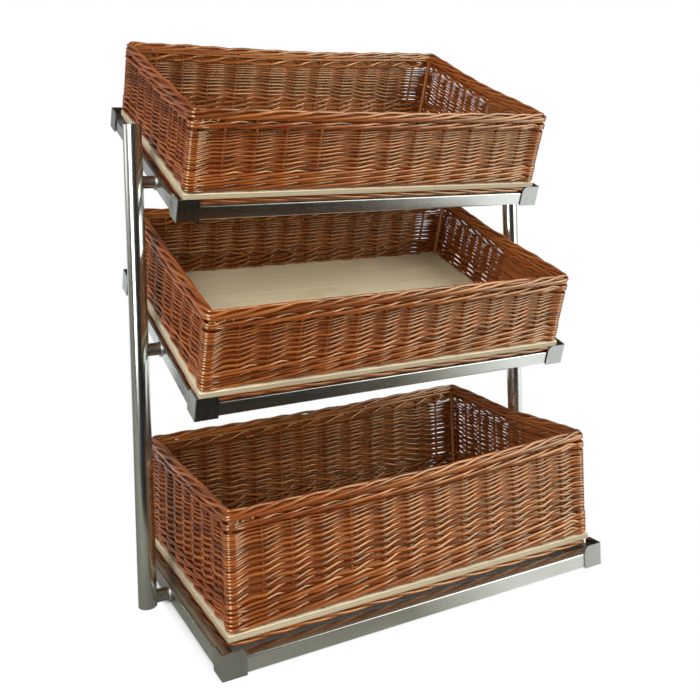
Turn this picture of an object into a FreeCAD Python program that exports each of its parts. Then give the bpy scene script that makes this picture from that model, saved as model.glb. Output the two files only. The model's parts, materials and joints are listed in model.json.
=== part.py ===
import FreeCAD, Part
import math
import os
from FreeCAD import Placement, Rotation, Vector

# Bakery bread rack: a welded stainless frame of two posts and three shelves, and a loose
# wicker basket on a plywood base on each shelf. Millimetres, +Z up, the customer's side
# faces -Y. The origin is on the floor, in the middle of the rack's outline.

# ---- Driving dimensions ------------------------------------------------------------------

# Shelf frames: square tube, mitred and welded
shelf_width = 600.0         # over the corner brackets, left to right
shelf_depth = 400.0         # over the corner brackets, front to back
tube_side = 20.0
tube_wall = 1.5
tube_corner = 2.0           # outside radius of the tube's edges

# Corner brackets: bent plate, welded outside the mitres
plate = 2.0
bracket_leg = 32.0
bracket_drop = 1.5          # how far the plate hangs below the tube
bracket_lip = 11.0          # how far it stands above the tube, to keep the basket in
bracket_round = 9.0         # rounding of each leg's upper free corner

# Posts, their end discs, and the stubs that carry the shelves
post_diameter = 26.0
post_wall = 1.5
post_gap = 16.7             # from a side rail's outer face to the post
post_above_top_stub = 82.0
end_disc = 2.5
end_disc_chamfer = 0.9
stub_diameter = 18.0
stub_wall = 1.5

# Where each shelf hangs
shelf_names = ("bottom", "middle", "top")
shelf_tilt = {"bottom": 0.0, "middle": 19.8, "top": 22.5}             # degrees, front edge down
stub_from_front = {"bottom": 237.5, "middle": 171.5, "top": 117.0}    # along the side rail
middle_stub_height = 361.3
top_stub_height = 598.0

# Baskets: plywood base, woven foot below it, woven siding and rolled rim above it
basket_side_play = 20.0     # shelf width left free beside the base board
basket_depth_play = 36.0    # shelf depth left free in front of and behind it
board_thickness = 6.5
board_corner = 4.0
foot_inset = 2.0            # from the board's edge in to the foot
foot_width = 10.0
foot_corner = 8.0
foot_edge = 2.5
basket_shift = {"bottom": 6.5, "middle": -6.5, "top": -3.0}           # off the shelf's middle
bottom_basket_setback = 22.0

# The siding: a wale of thick rods at its foot and its head, and finer weaving between them that
# bulges both ways over each upright stake
siding_corner = 9.0
siding_height = {"bottom": 142.5, "middle": 97.5, "top": 99.5}
lower_wale = {"bottom": 34.0, "middle": 28.0, "top": 27.5}
upper_wale = 12.5
lower_wale_rows = 6
upper_wale_rows = 2
wale_thickness = 15.0       # over a stake; its outer face is flush with the board's edge
wale_hollow = 4.6           # how much thinner it is midway between two stakes, on the inside
wale_groove = 1.2           # depth of the grooves between the rods of a wale
weave_thickness = 5.0       # midway between two stakes
bulge_thickness = 10.8      # over a stake and the rods in front of it and behind it
wall_inner_corner = 3.0
weave_overlap = 0.5         # how far the weave runs into the wales
trim_play = 0.5             # between a border's sides and the block that rounds its corners
front_bays = {"bottom": 13, "middle": 13, "top": 12}                  # spaces between stakes
side_bays = 8

# The rim: a bundle of rods laid round a core
rim_overhang = 1.0          # from the board's edge out to the rim
rim_width = 16.0
rim_height = 15.5
rim_rods = 6
rim_rod_diameter = 6.0
rim_corner = 10.0
rim_seat = 0.8              # how much of the lowest rods is pressed flat on the siding

# Weld beads where the stubs meet the side rails
weld_leg = 2.0

# Clearances between the loose baskets and the frame
seat_gap = 0.2              # under the foot
lip_gap = 0.3               # in front of a basket that leans on its brackets
lip_over = 0.4              # from the brackets' upper edge to the base board

# ---- Worked out from the above -----------------------------------------------------------

rail_top = bracket_drop + tube_side
rail_middle = bracket_drop + tube_side / 2.0
bracket_height = rail_top + bracket_lip
rail_face_x = shelf_width / 2.0 - plate
post_radius = post_diameter / 2.0
post_x = rail_face_x + post_gap + post_radius
post_y = stub_from_front["bottom"]
stub_height = {"bottom": rail_middle, "middle": middle_stub_height, "top": top_stub_height}
post_height = top_stub_height + post_above_top_stub

board_length = shelf_width - basket_side_play
board_depth = shelf_depth - basket_depth_play
foot_height = bracket_lip + lip_over - seat_gap
leaning_basket_front = plate + lip_gap - foot_inset
basket_front = {
    "bottom": bottom_basket_setback,
    "middle": leaning_basket_front,
    "top": leaning_basket_front,
}


def shelf_origin(name):
    """The middle of a shelf's lower front edge: its side rails cross the stubs' axis."""
    tilt = math.radians(shelf_tilt[name])
    along = stub_from_front[name]
    y = post_y - along * math.cos(tilt) + rail_middle * math.sin(tilt)
    z = stub_height[name] - along * math.sin(tilt) - rail_middle * math.cos(tilt)
    return Vector(0, y, z)


rack_front = shelf_origin("bottom").y
rack_back = shelf_origin("top").y + shelf_depth * math.cos(math.radians(shelf_tilt["top"]))
to_row_origin = Vector(0, -(rack_front + rack_back) / 2.0, 0)


def shelf_placement(name):
    return Placement(shelf_origin(name) + to_row_origin, Rotation(Vector(1, 0, 0), shelf_tilt[name]))


# ---- Shapes ------------------------------------------------------------------------------


def rounded_rectangle(width, depth, radius, z):
    """A wire around the Z axis at height z, with round corners."""
    x = width / 2.0
    y = depth / 2.0
    k = radius * (1 - math.sqrt(0.5))
    edges = []
    for sx, sy, turn in ((1, -1, 0), (1, 1, 1), (-1, 1, 2), (-1, -1, 3)):
        if turn % 2 == 0:
            start = Vector(sx * (x - radius), sy * y, z)
            end = Vector(sx * x, sy * (y - radius), z)
        else:
            start = Vector(sx * x, sy * (y - radius), z)
            end = Vector(sx * (x - radius), sy * y, z)
        edges.append((start, Vector(sx * (x - k), sy * (y - k), z), end))
    parts = []
    for i, (start, middle, end) in enumerate(edges):
        parts.append(Part.Arc(start, middle, end).toShape())
        parts.append(Part.LineSegment(end, edges[(i + 1) % 4][0]).toShape())
    return Part.Wire(parts)


def slab(width, depth, radius, z, height):
    face = Part.Face(rounded_rectangle(width, depth, radius, z))
    return face.extrude(Vector(0, 0, height))


def edges_at(shape, z):
    """The edges of a shape that lie flat at height z."""
    def lies_flat(edge):
        return abs(edge.BoundBox.ZMin - z) < 1e-6 and abs(edge.BoundBox.ZMax - z) < 1e-6

    return [edge for edge in shape.Edges if lies_flat(edge)]


def mitred_rail(length):
    """A square tube along X with its long side on y = 0 and its underside on z = 0."""
    middle = tube_side / 2.0
    along_x = Placement(Vector(-length / 2.0, middle, middle), Rotation(Vector(0, 1, 0), 90))

    def bar(side, radius):
        face = Part.Face(rounded_rectangle(side, side, radius, 0))
        face.Placement = along_x
        return face.extrude(Vector(length, 0, 0))

    tube = bar(tube_side, tube_corner).cut(bar(tube_side - 2 * tube_wall, tube_corner - tube_wall))
    end = length / 2.0
    corners = [Vector(-end, 0, 0), Vector(end, 0, 0), Vector(end - tube_side, tube_side, 0),
               Vector(-end + tube_side, tube_side, 0)]
    mitre = Part.Face(Part.makePolygon(corners + corners[:1])).extrude(Vector(0, 0, tube_side))
    return tube.common(mitre)


def corner_bracket():
    """The front left bracket: two equal legs in one bent plate, corner on the origin."""
    height = bracket_height
    r = bracket_round
    k = r * (1 - math.sqrt(0.5))
    top = Vector(bracket_leg - r, 0, height)
    side = Vector(bracket_leg, 0, height - r)
    outline = Part.Wire([
        Part.LineSegment(Vector(0, 0, 0), Vector(0, 0, height)).toShape(),
        Part.LineSegment(Vector(0, 0, height), top).toShape(),
        Part.Arc(top, Vector(bracket_leg - k, 0, height - k), side).toShape(),
        Part.LineSegment(side, Vector(bracket_leg, 0, 0)).toShape(),
        Part.LineSegment(Vector(bracket_leg, 0, 0), Vector(0, 0, 0)).toShape(),
    ])
    front_leg = Part.Face(outline).extrude(Vector(0, plate, 0))
    side_leg = front_leg.mirror(Vector(0, 0, 0), Vector(1, -1, 0))
    both = front_leg.fuse(side_leg).removeSplitter()

    def on_corner(edge):
        bounds = edge.BoundBox
        return abs(bounds.XMax) < 1e-6 and abs(bounds.YMax) < 1e-6 and bounds.ZLength > height / 2.0

    return both.makeFillet(plate * 0.95, [edge for edge in both.Edges if on_corner(edge)])


def stub(side, name):
    """A short tube from a side rail to the post, its far end cut to the post's round."""
    start = Vector(side * rail_face_x, 0, 0)
    outward = Vector(side, 0, 0)
    reach = post_gap + post_radius
    radius = stub_diameter / 2.0
    outer = Part.makeCylinder(radius, reach, start, outward)
    inner = Part.makeCylinder(radius - stub_wall, reach, start, outward)
    post_foot = Vector(side * post_x, 0, -stub_diameter)
    post_round = Part.makeCylinder(post_radius, 2 * stub_diameter, post_foot)
    bead = Part.makeCone(radius + weld_leg, radius, weld_leg, start, outward)
    shape = outer.fuse(bead).cut(inner).cut(post_round).removeSplitter()
    shape.translate(Vector(0, post_y, stub_height[name]) + to_row_origin)
    return shape


def post(side):
    base = Vector(side * post_x, post_y, end_disc) + to_row_origin
    length = post_height - 2 * end_disc
    bore = Part.makeCylinder(post_radius - post_wall, length, base)
    return Part.makeCylinder(post_radius, length, base).cut(bore)


def post_disc(side, at_top):
    """The disc welded over one end of a post, with its outer edge broken."""
    z = post_height - end_disc if at_top else 0.0
    disc = Part.makeCylinder(post_radius, end_disc, Vector(side * post_x, post_y, z) + to_row_origin)
    return disc.makeChamfer(end_disc_chamfer, edges_at(disc, post_height if at_top else 0.0))


def border(section, length, depth, corner):
    """A closed frame: one section along all four sides, mitred, with its corners trimmed round.

    The section is a face in the YZ plane, with y measured inwards from the outer face. What
    hangs below z = 0 is cut off.
    """
    sides = []
    for i, (along, across) in enumerate(2 * ((length, depth), (depth, length))):
        bar = section.translated(Vector(-along / 2.0, 0, 0)).extrude(Vector(along, 0, 0))
        reach = min(along, across) / 2.0
        bounds = bar.BoundBox
        end = along / 2.0
        places = [(-end, 0), (end, 0), (end - reach, reach)]
        if along > across:
            places.append((reach - end, reach))
        corners = [Vector(x, y, bounds.ZMin) for x, y in places]
        mitre = Part.Face(Part.makePolygon(corners + corners[:1])).extrude(Vector(0, 0, bounds.ZLength))
        bar = bar.common(mitre)
        bar.translate(Vector(0, -across / 2.0, 0))
        bar.rotate(Vector(0, 0, 0), Vector(0, 0, 1), 90 * i)
        sides.append(bar)
    frame = sides[0].multiFuse(sides[1:])
    play = 2 * trim_play
    trim = slab(length + play, depth + play, corner + trim_play, 0, frame.BoundBox.ZMax + trim_play)
    return frame.common(trim).removeSplitter().Solids[0]


def rods_edge(rows, low, high):
    """The wavy outer edge of the rods of a wale, laid one on another from low to high."""
    row = (high - low) / rows
    edges = []
    for i in range(rows):
        foot, head = low + i * row, low + (i + 1) * row
        crest = Vector(0, 0, (foot + head) / 2.0)
        edges.append(Part.Arc(Vector(0, wale_groove, foot), crest, Vector(0, wale_groove, head)).toShape())
    return edges


def broken_line(places):
    """Edges from point to point in the YZ plane."""
    points = [Vector(0, y, z) for y, z in places]
    return [Part.LineSegment(start, end).toShape() for start, end in zip(points, points[1:])]


def foot_border():
    width = board_length - 2 * foot_inset
    depth = board_depth - 2 * foot_inset
    outer = slab(width, depth, foot_corner, 0, foot_height)
    outer = outer.makeFillet(foot_edge, edges_at(outer, 0))
    hole = slab(width - 2 * foot_width, depth - 2 * foot_width, foot_corner / 2.0, 0, foot_height)
    return outer.cut(hole)


def base_board():
    return slab(board_length, board_depth, board_corner, foot_height, board_thickness)


def wall_outline(name, between, over, corner, radius, z):
    """One face of a woven wall in plan, with an arc over every stake.

    It lies in from the board's edge by between midway between two stakes, by over at a stake and
    by corner next to the round corners.
    """
    k = radius * (1 - math.sqrt(0.5))
    edges = []
    walls = 2 * ((board_length, board_depth, front_bays[name]), (board_depth, board_length, side_bays))
    for i, (along, across, bays) in enumerate(walls):
        def place(x, inset):
            return Vector(x, inset - across / 2.0, z)

        end = along / 2.0 - corner
        middles = [place(along * ((bay + 0.5) / bays - 0.5), between) for bay in range(bays)]
        stakes = [place(along * (bay / bays - 0.5), over) for bay in range(1, bays)]
        turn = [place(end - radius, corner), place(end - k, corner + k), place(end, corner + radius)]
        wall = [Part.LineSegment(place(radius - end, corner), middles[0])]
        wall += [Part.Arc(*points) for points in zip(middles, stakes, middles[1:])]
        wall += [Part.LineSegment(middles[-1], turn[0]), Part.Arc(*turn)]
        edges += [edge.toShape().rotated(Vector(0, 0, 0), Vector(0, 0, 1), 90 * i) for edge in wall]
    return Part.Wire(edges)


def wall_block(name, between, over, corner, radius, low, high):
    """All that lies within one face of a woven wall, from low to high."""
    face = Part.Face(wall_outline(name, between, over, corner, radius, low))
    return face.extrude(Vector(0, 0, high - low))


def wale(name, rows, low, high):
    """A band of thick rods round the wall: their waves show outside, and the stakes' inside."""
    back = broken_line([
        (wale_groove, high),
        (2 * wale_thickness, high),
        (2 * wale_thickness, low),
        (wale_groove, low),
    ])
    section = Part.Face(Part.Wire(rods_edge(rows, low, high) + back))
    band = border(section, board_length, board_depth, siding_corner)
    thin = wale_thickness - wale_hollow
    over_low, over_high = low - trim_play, high + trim_play
    return band.cut(wall_block(name, thin, wale_thickness, thin, wall_inner_corner, over_low, over_high))


def weave(name, low, high):
    """The weaving between the wales: it bulges outwards and inwards over every stake."""
    thin, thick = (wale_thickness - weave_thickness) / 2.0, (wale_thickness - bulge_thickness) / 2.0
    deep, deepest = wale_thickness - thin, wale_thickness - thick
    outer = wall_block(name, thin, thick, thick, siding_corner - thick, low, high)
    return outer.cut(wall_block(name, deep, deepest, deep, wall_inner_corner, low, high))


def siding(name):
    """The woven wall, open above and below: two wales and the weave between them."""
    height = siding_height[name]
    weave_low, weave_high = lower_wale[name], height - upper_wale
    lower = wale(name, lower_wale_rows, 0, weave_low)
    upper = wale(name, upper_wale_rows, weave_high, height)
    wall = lower.multiFuse([upper, weave(name, weave_low - weave_overlap, weave_high + weave_overlap)])
    return wall.translated(Vector(0, 0, foot_height + board_thickness))


def rim_border(name):
    """The rolled rim on the siding: rods round a core, pressed flat where they sit."""
    low = foot_height + board_thickness + siding_height[name]
    length = board_length + 2 * rim_overhang
    depth = board_depth + 2 * rim_overhang
    centre = Vector(0, rim_width / 2.0, (rim_height - rim_seat) / 2.0)
    turns = [2 * math.pi * k / rim_rods for k in range(rim_rods)]
    outward = [Vector(0, math.cos(turn), math.sin(turn)) for turn in turns]
    reach_y = (rim_width - rim_rod_diameter) / 2.0
    reach_z = (rim_height + rim_seat - rim_rod_diameter) / 2.0 / max(out.z for out in outward)
    middles = [centre + Vector(0, reach_y * out.y, reach_z * out.z) for out in outward]
    valleys = []
    for k in range(rim_rods):
        first, second = middles[k - 1], middles[k]
        half = (second - first) / 2.0
        out = Vector(0, half.z, -half.y).normalize()
        valleys.append(first + half + out * math.sqrt((rim_rod_diameter / 2.0) ** 2 - half.Length ** 2))
    arcs = []
    for k in range(rim_rods):
        crest = middles[k] + outward[k] * (rim_rod_diameter / 2.0)
        arcs.append(Part.Arc(valleys[k], crest, valleys[(k + 1) % rim_rods]).toShape())
    section = Part.Face(Part.Wire(arcs))
    return border(section, length, depth, rim_corner).translated(Vector(0, 0, low))


# ---- Nodes -------------------------------------------------------------------------------

nodes = {}
sides = {"left": -1, "right": 1}

for side_name, side in sides.items():
    nodes["post_" + side_name] = post(side)
    nodes["post_" + side_name + "_top_disc"] = post_disc(side, True)
    nodes["post_" + side_name + "_foot_disc"] = post_disc(side, False)

long_rail = mitred_rail(2 * rail_face_x)
cross_rail = mitred_rail(shelf_depth - 2 * plate)
bracket = corner_bracket()
half_width = shelf_width / 2.0
rail_places = {
    "front_rail": (long_rail, 0, Vector(0, plate, bracket_drop)),
    "back_rail": (long_rail, 180, Vector(0, shelf_depth - plate, bracket_drop)),
    "left_rail": (cross_rail, -90, Vector(-rail_face_x, shelf_depth / 2.0, bracket_drop)),
    "right_rail": (cross_rail, 90, Vector(rail_face_x, shelf_depth / 2.0, bracket_drop)),
    "bracket_front_left": (bracket, 0, Vector(-half_width, 0, 0)),
    "bracket_front_right": (bracket, 90, Vector(half_width, 0, 0)),
    "bracket_back_right": (bracket, 180, Vector(half_width, shelf_depth, 0)),
    "bracket_back_left": (bracket, 270, Vector(-half_width, shelf_depth, 0)),
}

for name in shelf_names:
    placement = shelf_placement(name)
    for piece, (shape, turn, where) in rail_places.items():
        on_shelf = Placement(where, Rotation(Vector(0, 0, 1), turn))
        nodes[name + "_" + piece] = shape.transformed(placement.multiply(on_shelf).toMatrix())
    for side_name, side in sides.items():
        nodes[name + "_stub_" + side_name] = stub(side, name)

    board_middle = basket_front[name] + board_depth / 2.0
    seat = Placement(Vector(basket_shift[name], board_middle, rail_top + seat_gap), Rotation())
    basket_placement = placement.multiply(seat)
    for piece, shape in (("foot_border", foot_border()), ("base_board", base_board()),
                         ("siding", siding(name)), ("rim_border", rim_border(name))):
        nodes["basket_" + name + "_" + piece] = shape.transformed(basket_placement.toMatrix())

os.makedirs("parts", exist_ok=True)
for name, shape in nodes.items():
    shape.exportStep("parts/" + name + ".step")
    print(name, len(shape.Solids), shape.isValid(), round(shape.Volume))
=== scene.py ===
"""Bakery bread rack: woven willow baskets, plywood boards and a brushed steel stand, built on the packed frame."""

import json
import math

import bpy
import numpy as np
from bpy.props import FloatProperty, FloatVectorProperty, IntProperty, PointerProperty
from bpy.types import NodeSocket, Operator, Panel, PropertyGroup
from mathutils import Matrix, Vector

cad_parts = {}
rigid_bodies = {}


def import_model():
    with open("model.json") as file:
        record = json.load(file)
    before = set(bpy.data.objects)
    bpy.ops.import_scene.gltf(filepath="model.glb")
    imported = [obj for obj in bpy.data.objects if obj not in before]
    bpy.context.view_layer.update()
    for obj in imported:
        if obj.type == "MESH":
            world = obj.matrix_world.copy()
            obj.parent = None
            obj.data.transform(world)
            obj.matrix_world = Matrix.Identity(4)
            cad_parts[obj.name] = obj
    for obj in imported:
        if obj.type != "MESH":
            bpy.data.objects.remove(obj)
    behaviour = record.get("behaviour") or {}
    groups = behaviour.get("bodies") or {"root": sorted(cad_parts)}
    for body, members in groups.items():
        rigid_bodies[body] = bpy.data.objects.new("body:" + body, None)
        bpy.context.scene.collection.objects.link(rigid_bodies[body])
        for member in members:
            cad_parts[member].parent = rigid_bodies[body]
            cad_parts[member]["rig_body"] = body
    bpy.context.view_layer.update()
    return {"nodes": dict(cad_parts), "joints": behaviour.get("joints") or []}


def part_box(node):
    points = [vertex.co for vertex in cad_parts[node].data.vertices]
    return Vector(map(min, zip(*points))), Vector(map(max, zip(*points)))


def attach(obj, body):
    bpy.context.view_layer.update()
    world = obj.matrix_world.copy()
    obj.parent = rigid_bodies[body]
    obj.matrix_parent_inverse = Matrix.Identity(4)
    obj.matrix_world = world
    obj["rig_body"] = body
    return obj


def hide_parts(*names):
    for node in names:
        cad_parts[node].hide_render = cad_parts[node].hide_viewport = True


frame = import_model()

bl_info = {
    "name": "Bread Rack Finish",
    "version": (1, 0, 0),
    "blender": (4, 5, 0),
    "location": "3D View > Sidebar > Bread Rack",
    "description": "Weaves the willow baskets and finishes the boards and the steel of a bakery bread rack",
    "category": "Object",
}

TIERS = ("bottom", "middle", "top")
BAKE_MAP = "OFBake"
MIX_COLOURS, MIX_RESULT = (6, 7), 2  # the Mix node's sockets for colours
MM = 0.001
UPRIGHT = np.array((0.0, 0.0, 1.0))
RIM_WIDTH = 16 * MM
RIM_CORNER = 5 * MM
FOOT_WIDTH = 10 * MM
FOOT_CORNER = 5 * MM

# Stakes along each basket's front wall, as shares of the way from its left corner to its right one.
FRONT_STAKES = {
    "bottom": (0.074, 0.147, 0.218, 0.297, 0.379, 0.451, 0.529, 0.614, 0.690, 0.773, 0.858, 0.933),
    "middle": (0.073, 0.147, 0.224, 0.296, 0.374, 0.448, 0.517, 0.600, 0.681, 0.765, 0.848, 0.930),
    "top": (0.075, 0.153, 0.232, 0.322, 0.433, 0.520, 0.597, 0.685, 0.768, 0.854, 0.939),
}
LOWER_WALE = {"bottom": 34 * MM, "middle": 28 * MM, "top": 27.5 * MM}
RANDING_STROKES = {"bottom": 25, "middle": 18, "top": 22}
WALE_ROUNDS = 3
WALE_PIECE = 9  # stakes that one rod of a wale passes

# A weaver's climb from one stake to the next, and a wale rod's, in rows: (share of the way or bays, climb).
STROKE_CLIMB = ((0.0, 0.0), (0.07, 0.03), (0.56, 0.96), (0.66, 1.0), (1.0, 1.0))
WALE_CLIMB = ((0.0, 0.6), (0.40, 0.0), (2.45, 2.0), (3.0, 0.6))
# How far a rod has crossed, from the front of one stake to the back of the next: nearly straight.
PASS = ((0.0, 0.0), (0.05, 0.015), (0.95, 0.985), (1.0, 1.0))
# A rod's distance from the stakes' line, over the distance at which the two would touch.
WEAVER_REACH, WALE_REACH = 0.90, 0.98
# How far a rod runs past its first stake and its last, in bays, and how deep its ends are tucked in.
WEAVER_BUTT, WEAVER_TIP, WEAVER_TUCK = 0.2, 0.15, 2.5 * MM
WALE_END, WALE_TUCK = 0.35, 1.6 * MM
CORNER_INSET = 0.8 * MM
# What is uneven in handwork: a row's height, a weaver's distance out, a rod's thickness.
UNEVEN_ROW, UNEVEN_REACH, UNEVEN_ROD = 0.28 * MM, 0.2 * MM, (0.93, 1.05)
WANDER_BAYS = 3.1

# Packing rods: distance from the stakes' line and radius over the row's height; thin about the back right corner.
PACK_SHIFT, PACK_RADIUS = 2.3 * MM, 0.56
THIN_RADIUS, THIN_BEFORE, THIN_AFTER = 0.28, 4.6, 1.1

# A stake's rod in the rim, after so many bays: its turn round the core in degrees, and its distance from it.
RIM_TURN = (
    (0.0, -85.0), (0.25, -66.0), (1.0, -38.0), (2.0, 18.0), (2.55, 72.0), (3.5, 100.0), (3.9, 150.0), (5.3, 215.0)
)
RIM_SWELL = ((2.2, 1.0), (2.65, 1.16), (2.8, 1.30), (3.7, 0.92), (4.1, 0.88))
RIM_RUN, RIM_RUN_SPREAD = 5.2, 0.3
# The rods inside the rim: height as a share of the rim's, distance out in mm, thickness over a rim rod's.
RIM_CORE = ((0.55, -1.2, 1.1), (0.18, -3.2, 0.9))

# Where the lights aim; the floor, and the part of it that keeps the shadow.
LIGHTS_AIM = (0.0, 0.0, 0.35)
FLOOR_REACH, FLOOR_LEVEL = 30.0, -0.0004
SHADED_HALF, SHADED_MIDDLE = (0.30, 0.196), -0.046

# How far each wall's head rises or sags, in mm: front left corner, front, front right, and on round.
HEAD_RISE = {
    "bottom": (-5.5, -7.5, 0.5, -4.0, 4.0, -1.5, 0.0, -4.5),
    "middle": (0.5, 1.0, 0.0, -4.0, -1.0, -2.0, 0.0, -1.0),
    "top": (1.5, -0.5, 0.0, -2.0, 5.5, -2.5, 0.0, -1.5),
}


# --- Sizes and colours that a user would change ---


def number(name, description, value, **limits):
    """A property that holds a number."""
    return FloatProperty(name=name, description=description, default=value, **limits)


def length(name, description, millimetres):
    """A length property, given in millimetres and kept in metres."""
    return number(name, description, millimetres * MM, min=0.0, unit="LENGTH")


def angle(name, description, degrees):
    """An angle property, given in degrees and kept in radians."""
    return number(name, description, math.radians(degrees), subtype="ANGLE")


def count(name, description, value, least):
    """A property that holds a whole number."""
    return IntProperty(name=name, description=description, default=value, min=least)


def colour(name, description, red, green, blue):
    """A colour property in linear red, green and blue."""
    return FloatVectorProperty(
        name=name, description=description, default=(red, green, blue), min=0.0, max=1.0, subtype="COLOR"
    )


class RackWillow(PropertyGroup):
    """Willow rods"""

    stake: length("Stake", "Diameter of the upright stakes", 4.7)
    corner_post: length("Corner post", "Diameter of the stout post in each corner", 9.0)
    wale_rod: length("Wale rod", "Diameter of the rods in the upper and lower wales", 5.0)
    rim_rod: length("Rim rod", "Diameter of the rods rolled into the rim", 5.7)
    foot_rod: length("Foot rod", "Diameter of the rods in the foot border", 5.2)
    wall_depth: length("Wall depth", "From the outer face of the wall to the line of its stakes", 7.7)
    wall_corner: length("Wall corner", "Radius of the line of stakes in each corner", 2.5)
    corner_hold: length("Corner hold", "How far past a corner the rods stay flat against the wall", 5.0)
    corner_waist: length("Corner waist", "How far the rods are drawn in between a corner and the next stake", 2.4)
    upper_wale: length("Upper wale", "Height of the band of thick rods under the rim", 12.5)
    taper: number("Taper", "A weaver's tip over its butt", 0.44, min=0.1, max=1.0)
    fullness: number("Fullness", "A weaver's diameter over its share of the wall", 1.02)
    color: colour("Willow", "Common colour of the rods", 0.265, 0.056, 0.007)
    pale: colour("Pale willow", "Colour of the palest rods", 0.36, 0.108, 0.022)
    dark: colour("Dark willow", "Colour of the darkest rods", 0.10, 0.019, 0.003)
    cut: colour("Cut end", "Colour of the pale wood in a cut end", 0.26, 0.13, 0.045)
    side_bays: count("Side bays", "Spaces between stakes on a side wall", 8, 2)
    steps: count("Steps", "Points along a rod from stake to stake", 8, 3)
    sides: count("Sides", "Flats round a rod", 8, 4)


class RackPlywood(PropertyGroup):
    """Base boards"""

    face: colour("Face", "Colour of the outer plies", 0.81, 0.72, 0.50)
    core: colour("Core", "Colour of the inner ply seen on the edge", 0.52, 0.41, 0.25)
    # The edge colour is partly the sawn edge's own colour and partly painted shade, darker so that the edges, which
    # face the lights, come out no brighter than the faces.
    edge: colour("Edge", "Colour of the sawn edge", 0.22, 0.185, 0.12)
    dirt: colour("Stain", "Colour of stains and old flour in the grain", 0.30, 0.21, 0.12)


class RackSteel(PropertyGroup):
    """Steel stand"""

    color: colour("Steel", "Colour of the brushed steel", 0.54, 0.55, 0.52)
    # Painted shade: a darker copy of the rails' steel for the brackets and the stubs, standing for the less light they
    # catch and reflect.
    plate: colour("Plate", "Colour of the duller steel of the brackets and the stubs", 0.36, 0.365, 0.345)
    weld: colour("Weld", "Colour of the weld beads", 0.72, 0.70, 0.66)
    roughness: number("Roughness", "Roughness of the brushed steel", 0.24)
    post_roughness: number("Post roughness", "Roughness of the posts", 0.20)
    bead: length("Weld bead", "Thickness of the weld bead round a stub", 2.2)


class RackStudio(PropertyGroup):
    """Camera and lights"""

    focal: number("Focal length", "Focal length on a 36 mm sensor", 44.94)
    shift_x: number("Shift across", "Lens shift across", -0.0286)
    shift_y: number("Shift up", "Lens shift up", -0.2267)
    place: FloatVectorProperty(
        name="Camera place", description="Where the camera stands", default=(-0.62437, -1.24767, 0.59328), unit="LENGTH"
    )
    yaw: angle("Yaw", "Turn from +Y towards +X", 28.621)
    pitch: angle("Pitch", "Dip below the horizon", 0.809)
    roll: angle("Roll", "Lean of the camera", -1.683)
    ambient: number("Ambient", "Strength of the light from all round", 0.29, min=0.0)
    key: number("Key light", "Power of the large light on the right", 66.0, unit="POWER")
    fill: number("Fill light", "Power of the large light on the left", 35.0, unit="POWER")


GROUPS = {"rack_willow": RackWillow, "rack_plywood": RackPlywood, "rack_steel": RackSteel, "rack_studio": RackStudio}


# --- Shader helpers ---


def feed(tree, node, inputs):
    """Sets a node's inputs, by name or number, to values or to other nodes' outputs."""
    for name, value in dict(inputs).items():
        if isinstance(value, NodeSocket):
            tree.links.new(value, node.inputs[name])
        else:
            node.inputs[name].default_value = value
    return node


def add(tree, kind, inputs=(), **settings):
    """Adds a shader node with these settings and inputs."""
    node = tree.nodes.new("ShaderNode" + kind)
    for name, value in settings.items():
        setattr(node, name, value)
    return feed(tree, node, inputs)


def maths(tree, operation, *values):
    """One Math node's output."""
    return add(tree, "Math", enumerate(values), operation=operation).outputs[0]


def remap(tree, value, low, high, first=0.0, last=1.0):
    """Goes from first to last while the value goes from low to high; held beyond them."""
    limits = {"Value": value, "From Min": low, "From Max": high, "To Min": first, "To Max": last}
    return add(tree, "MapRange", limits).outputs[0]


def dot(tree, vector, axis):
    """How far a vector reaches along an axis."""
    return add(tree, "VectorMath", {0: vector, 1: tuple(axis)}, operation="DOT_PRODUCT").outputs["Value"]


def noise(tree, vector, scale, detail):
    """Even noise."""
    return add(tree, "TexNoise", {"Vector": vector, "Scale": scale, "Detail": detail}).outputs[0]


def bump(tree, height, strength, distance):
    """A normal that follows small relief."""
    return add(tree, "Bump", {"Height": height, "Strength": strength, "Distance": distance}).outputs[0]


def attribute(tree, name, output="Fac"):
    """One of the mesh's attributes."""
    return add(tree, "Attribute", attribute_name=name).outputs[output]


def ramp(tree, factor, *stops):
    """A Color Ramp's colour output; each stop is (position, grey or colour)."""
    node = add(tree, "ValToRGB", {0: factor})
    while len(node.color_ramp.elements) < len(stops):
        node.color_ramp.elements.new(0.5)
    for element, (position, value) in zip(node.color_ramp.elements, stops):
        element.position = position
        element.color = (*value, 1.0) if hasattr(value, "__len__") else (value, value, value, 1.0)
    return node.outputs["Color"]


def blend_colours(tree, factor, first, second):
    """A colour mix; each colour is a value or a socket."""
    colours = [c if isinstance(c, NodeSocket) else (*c[:3], 1.0) for c in (first, second)]
    inputs = {"Factor": factor, MIX_COLOURS[0]: colours[0], MIX_COLOURS[1]: colours[1]}
    return add(tree, "Mix", inputs, data_type="RGBA").outputs[MIX_RESULT]


def layered(tree, base, *layers):
    """Colours laid over a base, each by a mask and a share of it."""
    for mask, share, tint in layers:
        base = blend_colours(tree, maths(tree, "MULTIPLY", mask, share), base, tint)
    return base


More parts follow.
